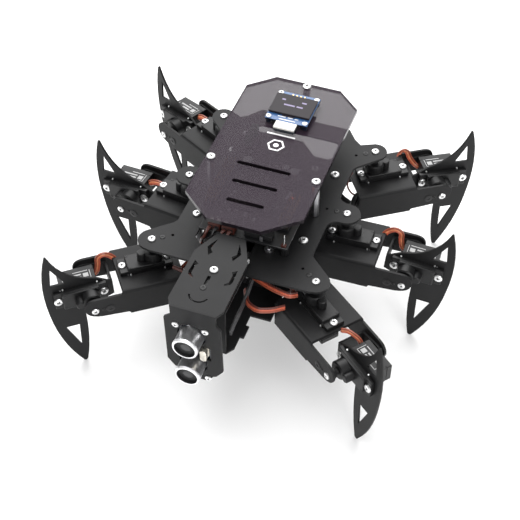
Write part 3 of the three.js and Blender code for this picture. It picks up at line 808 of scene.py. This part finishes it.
def board_headers():
    """The pin headers and the small parts along the board's front edge."""
    pins = header(-28.6, -21, -33, 6, 3)
    merge(pins, header(19, 26.6, -38, -12, 3))
    merge(pins, rounded_block(3, 20, -49, -43, BOARD_TOP, BOARD_TOP + 4, 0.4))
    spike = lathe([(0, 9), (0.3, 8.8), (0.55, 0), (0, 0)], 12)
    merge(pins, place(spike, Matrix.Translation((28.2, -49.6, BOARD_TOP))), 2)
    merge(pins, rounded_block(26.4, 29.4, -50.8, -48.4, BOARD_TOP, BOARD_TOP + 1.4, 0.3), 3)
    merge(pins, rounded_block(13.2, 15, -50.6, -49.6, BOARD_TOP, BOARD_TOP + 3.4, 0.2), 4)
    finish_piece("board_headers", place(pins, DECK), [HEADER, GOLD, SCREW, RED_PLUG, GREY_WIRE],
                 "chassis")


def board_plugs():
    """Two supply plugs with their screws and wire mouths, and a green terminal block."""
    plugs = rounded_block(-19, -11.4, -51, -45, BOARD_TOP, BOARD_TOP + 5.4, 0.5)
    merge(plugs, rounded_block(-10.4, -2.6, -51, -45, BOARD_TOP, BOARD_TOP + 5.2, 0.5))
    merge(plugs, rounded_block(-24, -19.6, 26, 40, BOARD_TOP, BOARD_TOP + 7.5, 0.4), 1)
    for x, _ in SUPPLY_WIRES:
        screw = lathe([(0, 1.2), (1.1, 1.2), (1.4, 0.8), (1.4, 0), (0, 0)], 14)
        merge(plugs, place(screw, Matrix.Translation((x, -48, BOARD_TOP + 5.3))), 2)
        mouth = rounded_block(x - 1.3, x + 1.3, -51.15, -50, BOARD_TOP + 1, BOARD_TOP + 3.8, 0.2)
        merge(plugs, mouth, 3)
    finish_piece("board_plugs", place(plugs, DECK), [RED_PLUG, GREEN_BLOCK, CREAM_CAN, HEADER],
                 "chassis")


def supply():
    """The leads from the plugs down through the deck, and the switch block they pass."""
    leads = bmesh.new()
    for i, (x, foot) in enumerate(SUPPLY_WIRES):
        route = [(x, -50.6, BOARD_TOP + 2.4), (x - 1, -52.4, BOARD_TOP + 1.8), (x - 3.4, -52.8, 6),
                 (foot, -48, -4), (foot, -44.5, -14), (foot + 4, -44.5, -21)]
        merge(leads, swept(smooth_path(route, 7), 0.95), i % 3)
    finish_piece("supply_leads", place(leads, DECK), [MAROON_WIRE, BLACK_WIRE, MAROON_WIRE],
                 "chassis")
    block = rounded_block(-29, -15, -44, -33, -18.2, -9.5, 0.8, 3)
    merge(block, rounded_block(-26, -18, -45.2, -36, -16.6, -11.2, 0.5))
    finish_piece("supply_switch", place(block, DECK), [HEADER], "chassis")


def board_capacitors():
    cans = bmesh.new()
    for x, y, radius in ((15, 6, 3.1), (9, 8, 2.4), (-15, 7, 3.1)):
        can = lathe([(0, 7.6), (0.8 * radius, 7.6), (radius, 7.2), (radius, 1.6),
                     (0.93 * radius, 1.3), (radius, 1), (radius, 0), (0, 0)], 24)
        merge(cans, place(can, Matrix.Translation((x, y, BOARD_TOP))))
    finish_piece("board_capacitors", place(cans, DECK), [CAN], "chassis")


def power_lamp():
    lamp = lathe([(0, 1.5), (0.6, 1.35), (1, 0.9), (1.1, 0), (0, 0)], 16)
    place(lamp, DECK @ Matrix.Translation((19.3, -10.7, BOARD_TOP + 0.2)))
    finish_piece("power_lamp", lamp, [RED_LAMP], "chassis")


def controller():
    """The board under the cover with everything on it."""
    board_sheet()
    board_chips()
    board_headers()
    board_plugs()
    supply()
    board_capacitors()
    power_lamp()


def batteries():
    refined("battery_holder", 0.35, [HOLDER], "chassis")
    for name, side in (("left", -1), ("right", 1)):
        cell = lathe([(0, 32.5), (3.2, 32.5), (3.2, 31.6), (8.3, 31.6), (9.1, 30.8), (9.1, -31.8),
                      (8.4, -32.5), (0, -32.5)], 40)
        turn = (Matrix.Translation((side * 9.45, -7, -22.2))
                @ Matrix.Rotation(math.radians(90), 4, "X"))
        finish_piece(f"battery_cell_{name}_body", place(cell, DECK @ turn), [SLEEVE], "chassis",
                     [f"battery_cell_{name}"], None)


# ---------------------------------------------------------------- neck and head
def neck():
    """The pan servo and the leads round it."""
    pan = (DECK @ Matrix.Translation((0, PAN_Y, GAP))
           @ Matrix.Rotation(math.radians(90), 4, "Z"))
    servo_piece("pan_servo", pan, "chassis")
    refined("pan_horn", 0.25, [HORN], "head")

    route = [(12.8, -60, -10), (13.0, -70, -13.5), (13.0, -80, -15.8), (12.9, -90, -16.4),
             (12.8, -99, -18.5)]
    line = [DECK @ p for p in smooth_path(route, 7)]
    ribbon = bmesh.new()
    for i, shift in enumerate((-2.5, -1.25, 0, 1.25, 2.5)):
        merge(ribbon, swept(line, 0.6 * MM, shift * MM, Vector(UP)), i % 2)
    finish_piece("sensor_ribbon", ribbon, [BLACK_WIRE, GREY_WIRE], "chassis",
                 ["sensor_cable"])

    thin = [(-37, -63.6, -15.4), (-34, -64, -15.4), (-31.2, -64.4, -15.6), (-28.4, -65.4, -16),
            (-25, -65.6, -16.4), (-20, -64.5, -16.6), (-13, -62, -16.6)]
    thick = [(-27, -48, -14), (-27.6, -55, -15), (-27, -60, -16), (-24.6, -62, -16.4),
             (-17, -60, -16), (-12, -57, -15)]
    finish_piece("neck_strands", strands(((thin, 1.2), (thick, 2.2)), DECK), [MAROON_WIRE, SPIRAL],
                 "chassis")

    facing = (0, 0.74, 0.67)
    # The two leads under the head take darker colours than the same servo leads at the knees:
    # painted shade.
    shaded = (BROWN_WIRE, RED_WIRE, MAROON_WIRE)
    edge = [(4, -54, -12), (9, -59, -8.5), (16.5, -63.2, -7.4), (25.4, -66.3, -7.8),
            (32, -67.8, -8), (38, -68.2, -8.4), (42, -65, -9.5)]
    lead("deck_edge_lead", edge, DECK, "chassis", facing, shaded)
    loop = [(10, -66, -15), (12.6, -71.5, -15.6), (15.6, -76, -16), (21.6, -78.6, -16),
            (26.6, -77.6, -16), (31, -75, -16.4), (36, -70, -17.5)]
    lead("neck_loop_lead", loop, DECK, "chassis", facing, shaded)


def head_shell():
    """The folded head plate, with a rounder bend where the crown meets the face."""
    low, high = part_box("head_plate")

    def on_fold(edge):
        a, b = (v.co for v in edge.verts)
        level = abs(a.z - high.z) < 2e-5 and abs(b.z - high.z) < 2e-5
        return level and max(a.y, b.y) < low.y + 3 * MM

    refined("head_plate", 0.28, [POWDER], "head", 1.5, on_fold)


def transducer(which, side):
    """A pressed can with a rolled rim around a recess that holds the mesh."""
    recess = 6.2
    can = lathe([(0, -1.7), (recess, -1.7), (recess, -0.1), (6.35, 0.2), (6.8, 0.3), (7.35, 0.1),
                 (7.7, -0.5), (7.8, -1.2), (7.75, -1.7), (7.5, -2.1), (7.5, -12.3), (0, -12.3)],
                48)
    for face in can.faces:
        middle = face.calc_center_median()
        if math.hypot(middle.x, middle.y) < recess + 0.1 and middle.z > -2:
            face.material_index = 1
    # The cone in the middle takes the third material, the painted highlight.
    merge(can, lathe([(0, -1.0), (1.3, -1.05), (2.9, -1.45), (3.1, -1.68), (0, -1.68)], 28), 2)
    at = (FACE @ Matrix.Translation((EYE_X, -EYE_REACH + 0.3, EYE_Z + side * EYE_PITCH / 2))
          @ Matrix.Rotation(math.radians(90), 4, "X"))
    node = f"transducer_{which}"
    finish_piece(f"{node}_can", place(can, at), [CAN, MESH, CONE_PAINTED_HIGHLIGHT], "head", [node],
                 None)


def stadium(radius, back, front, rounding):
    """One step of the crystal's can: a rounded slot shape between two depths."""
    solid = prism(arc(CRYSTAL_X, CRYSTAL_UPPER, radius, 0, 180, 12)
                  + arc(CRYSTAL_X, CRYSTAL_LOWER, radius, 180, 360, 12), back, front)
    soften(solid, rounding, degrees=60, segments=3)
    return solid


def sensor():
    """The ultrasonic sensor on the face, and the head's own screws."""
    transducer("upper", 1)
    transducer("lower", -1)
    can = stadium(2.05, -1.6, 3, 0.4)
    merge(can, stadium(1.45, 2.8, 3.08, 0.1))
    merge(can, stadium(2.35, -1.55, -0.7, 0.2))
    upright = FACE @ Matrix.Rotation(math.radians(90), 4, "X")
    finish_piece("crystal_case", place(can, upright), [CREAM_CAN], "head",
                 ["sensor_crystal"])
    refined("sensor_board", 0.15, [DARK_BOARD], "head")

    back = 3.5
    x, z = SENSOR_X, SENSOR_Z
    parts = rounded_block(x - 6, x + 6, back, back + 1.2, z - 9, z - 3, 0.2)
    merge(parts, rounded_block(x - 5, x + 5, back, back + 1.3, z + 2, z + 8, 0.2))
    merge(parts, rounded_block(x + 6.6, x + 9.2, back, back + 2.6, z - 5.2, z + 5.2, 0.2), 1)
    finish_piece("sensor_parts", place(parts, FACE), [CHIP, HEADER], "head")

    screws = [((SENSOR_X + side * 8.9, 0, height), (0, -1, 0), 2.05)
              for side in (-1, 1) for height in (-15.3, -57.8)]
    fasteners("sensor_screws", FACE, "head", screws)
    fasteners("pan_screw", DECK, "head", [((0, PAN_Y, HEAD_TOP), UP, 2.5)])
    fasteners("pan_sunk_screw", DECK, "head", [((-0.8, -104, HEAD_TOP), UP, 1.9)], "ring")


# ---------------------------------------------------------------- legs
def thigh_pieces(leg):
    body = f"{leg}_thigh_body"
    here = thigh_frame(leg)
    refined(f"{leg}_thigh", 0.3, [POWDER], body)
    refined(f"{leg}_knee_horn", 0.25, [HORN], body)
    servo_piece(f"{leg}_coxa_servo", here @ Matrix.Translation((0, 0, WEB_TOP + GAP)), body)

    lug_top = WEB_TOP + GAP + LUG_THICKNESS
    knee_side, far_side = (0, 1, 0), (0, -1, 0)
    screws = [((x, 0, lug_top), UP, 2.4) for x in LUG_HOLES]
    screws.append(((KNEE_REACH, THIGH_HALF, KNEE_Z), knee_side, 2.2))
    fasteners(f"{leg}_thigh_screws", here, body, screws)
    rings = [((KNEE_REACH - 5.4, THIGH_HALF, KNEE_Z), knee_side, 1.2),
             ((KNEE_REACH - 9.3, THIGH_HALF, KNEE_Z), knee_side, 2.7)]
    fasteners(f"{leg}_thigh_sunk_screws", here, body, rings, "ring")
    nuts = [((x, 0, WEB_TOP - SHEET), DOWN, 2.3) for x in LUG_HOLES]
    nuts.append(((KNEE_REACH, -THIGH_HALF - 0.2, KNEE_Z), far_side, 2.4))
    fasteners(f"{leg}_thigh_nuts", here, body, nuts, "nut")


def claw_pieces(leg):
    body = f"{leg}_claw_body"
    here = claw_frame(leg)
    refined(f"{leg}_claw", 0.25, [POWDER], body)
    servo_at = (here @ Matrix.Translation((0, CLAW_FRONT + GAP, 0))
                @ Matrix.Rotation(math.radians(-90), 4, "X"))
    servo_piece(f"{leg}_knee_servo", servo_at, body)
    lug_front = CLAW_FRONT + GAP + LUG_THICKNESS
    screws = [((x, lug_front, 0), (0, 1, 0), 2.7) for x in LUG_HOLES]
    fasteners(f"{leg}_claw_screws", here, body, screws)
    nuts = [((x, CLAW_FRONT - 1.4, 0), (0, -1, 0), 2.4) for x in LUG_HOLES]
    fasteners(f"{leg}_claw_nuts", here, body, nuts, "nut")


KNEE_ARCHES = {
    "front_left": [(-7.8, -11.9, 2), (-9.1, -11.9, 7.2), (-9.9, -11.9, 12.4), (-13.8, -11.9, 14),
                   (-18.2, -11.9, 10.8)],
    "front_right": [(-7.2, -10.5, 2.2), (-8.6, -8.2, 8), (-14.6, -5.5, 9.6), (-19, -3.2, 8)],
    "rear_right": [(-8.6, -13.4, 1.8), (-11.6, -14.8, 6), (-14, -15.2, 11), (-17.4, -15, 12.6),
                   (-20, -14.4, 9.4)],
    "middle_left": [(-7.2, -9, 1.8), (-7.7, -6, 4.6), (-10.5, -5.2, 6.8), (-14.5, -5.2, 7.6),
                    (-18.6, -5.8, 6.4)],
}
KNEE_ARCHES["middle_right"] = KNEE_ARCHES["front_left"]
KNEE_ARCHES["rear_left"] = KNEE_ARCHES["middle_left"]


def knee_lead(leg):
    """From the knee servo's end, up over the claw bracket and under the thigh's web."""
    here = claw_frame(leg)
    servo_end = [(-4, -11.9, 0), (-6.4, -11.9, 0.2)]
    thigh_end = [(-24, -9.5, 3.6), (-31, -11, 2)]
    start, end = here @ Vector((-12, -10, 8)), here @ Vector((-20, -9, 5))
    lead(f"{leg}_knee_lead", servo_end + KNEE_ARCHES[leg] + thigh_end, here, None, UP,
         blend=(f"{leg}_claw_body", f"{leg}_thigh_body", start, end))


def loom(leg):
    """A rear leg's leads leave the thigh's open end in two sleeves, beside one loose wire."""
    here = thigh_frame(leg)
    side = 1 if leg.endswith("right") else -1
    sleeve = [(6, 6, -30), (-4, 8, -27), (-11, 10, -24.5), (-15.2, 11.8, -25), (-17, 12.2, -30),
              (-17, 8.5, -36), (-19.5, 2, -37.5), (-22.8, -3.5, -37), (-26, -8, -34)]
    loose = [(-6, 12, -24.5), (-12, 12, -25.3), (-14.7, 10, -25), (-17.5, 10, -23),
             (-20, 10, -18.5), (-20.9, 10, -14), (-20, 10, -8.2), (-18, 10, -4.5)]
    second = [(x + 2.6, y + 3.4, z + 1) for x, y, z in sleeve[2:]]
    routes = [([(x, side * y, z) for x, y, z in route], radius)
              for route, radius in ((sleeve, 2.0), (loose, 0.6), (second, 2.2))]
    # The sleeves are black spiral wrap, and their black also paints the shade that the orange servo
    # leads inside lie in under the deck.
    piece = finish_piece(f"{leg}_loom", strands(routes, here), [SPIRAL, MAROON_WIRE, SPIRAL],
                         None)
    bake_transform(piece)


def coxa_lead(leg):
    """From the thigh's open end to the chassis."""
    here = thigh_frame(leg)
    route = [(-4, 0, -32.5), (-8.2, 0, -32.4), (-12, 1.4, -31), (-17, 2.4, -27), (-23, 2.2, -21),
             (-28, 1.6, -16), (-31, 1.2, -12)]
    start, end = here @ Vector((-13, 0, -28)), here @ Vector((-26, 0, -24))
    # Darker colours than the same servo leads at the knees: painted shade under the deck.
    lead(f"{leg}_coxa_lead", route, here, None, (0, 1, 0), (MAROON_WIRE, BROWN_WIRE, MAROON_WIRE),
         (f"{leg}_thigh_body", "chassis", start, end))


# ---------------------------------------------------------------- stage
def aim(obj, target):
    obj.rotation_euler = (Vector(target) - obj.location).to_track_quat("-Z", "Y").to_euler()


def white_floor():
    grid = bmesh.new()
    bmesh.ops.create_grid(grid, x_segments=1, y_segments=1, size=FLOOR_SIZE)
    mesh = bpy.data.meshes.new("floor")
    grid.to_mesh(mesh)
    grid.free()
    plane = bpy.data.objects.new("floor", mesh)
    bpy.context.scene.collection.objects.link(plane)
    paper = shader("floor_paper", (0.84, 0.84, 0.84), 0.9,
                   Emission_Color=(1, 1, 1, 1), Emission_Strength=0.1)
    grain = texture(paper, "ShaderNodeTexNoise", 300, Detail=2)
    bump(paper, grain.outputs["Fac"], 0.03, 0.0001)
    mesh.materials.append(paper)


def lights():
    target = DECK @ Vector(LIGHT_TARGET)
    for name, offset, size, watts in LIGHTS:
        data = bpy.data.lights.new(name, "AREA")
        data.size = size
        data.energy = watts
        lamp = bpy.data.objects.new(name, data)
        lamp.location = target + Vector(offset)
        aim(lamp, target)
        bpy.context.scene.collection.objects.link(lamp)


def sky():
    """A white world that brightens with height."""
    world = bpy.data.worlds.new("studio")
    world.use_nodes = True
    nodes, links = world.node_tree.nodes, world.node_tree.links
    nodes["Background"].inputs["Color"].default_value = (1, 1, 1, 1)
    height = nodes.new("ShaderNodeSeparateXYZ")
    brightness = nodes.new("ShaderNodeMapRange")
    brightness.inputs["From Min"].default_value = 0
    brightness.inputs["From Max"].default_value = 1
    brightness.inputs["To Min"].default_value = SKY_LOW
    brightness.inputs["To Max"].default_value = SKY_HIGH
    links.new(nodes.new("ShaderNodeTexCoord").outputs["Generated"], height.inputs["Vector"])
    links.new(height.outputs["Z"], brightness.inputs["Value"])
    links.new(brightness.outputs["Result"], nodes["Background"].inputs["Strength"])
    bpy.context.scene.world = world


def camera():
    data = bpy.data.cameras.new("camera")
    data.lens = CAMERA_LENS
    data.sensor_width = CAMERA_SENSOR
    eye = bpy.data.objects.new("camera", data)
    back = Vector(CAMERA_BACK).normalized()
    eye.location = DECK @ (Vector(CAMERA_TARGET) + CAMERA_DISTANCE * back)
    eye.rotation_euler = (-back).to_track_quat("-Z", "Y").to_euler()
    bpy.context.scene.collection.objects.link(eye)
    bpy.context.scene.camera = eye


camera()
white_floor()
lights()
sky()
bpy.context.scene.view_settings.view_transform = "Standard"
chassis_sheets()
chassis_fasteners()
cover()
display()
controller()
batteries()
neck()
head_shell()
sensor()
for leg_name in LEGS:
    thigh_pieces(leg_name)
    claw_pieces(leg_name)
    knee_lead(leg_name)
    if leg_name.startswith("rear"):
        loom(leg_name)
    else:
        coxa_lead(leg_name)
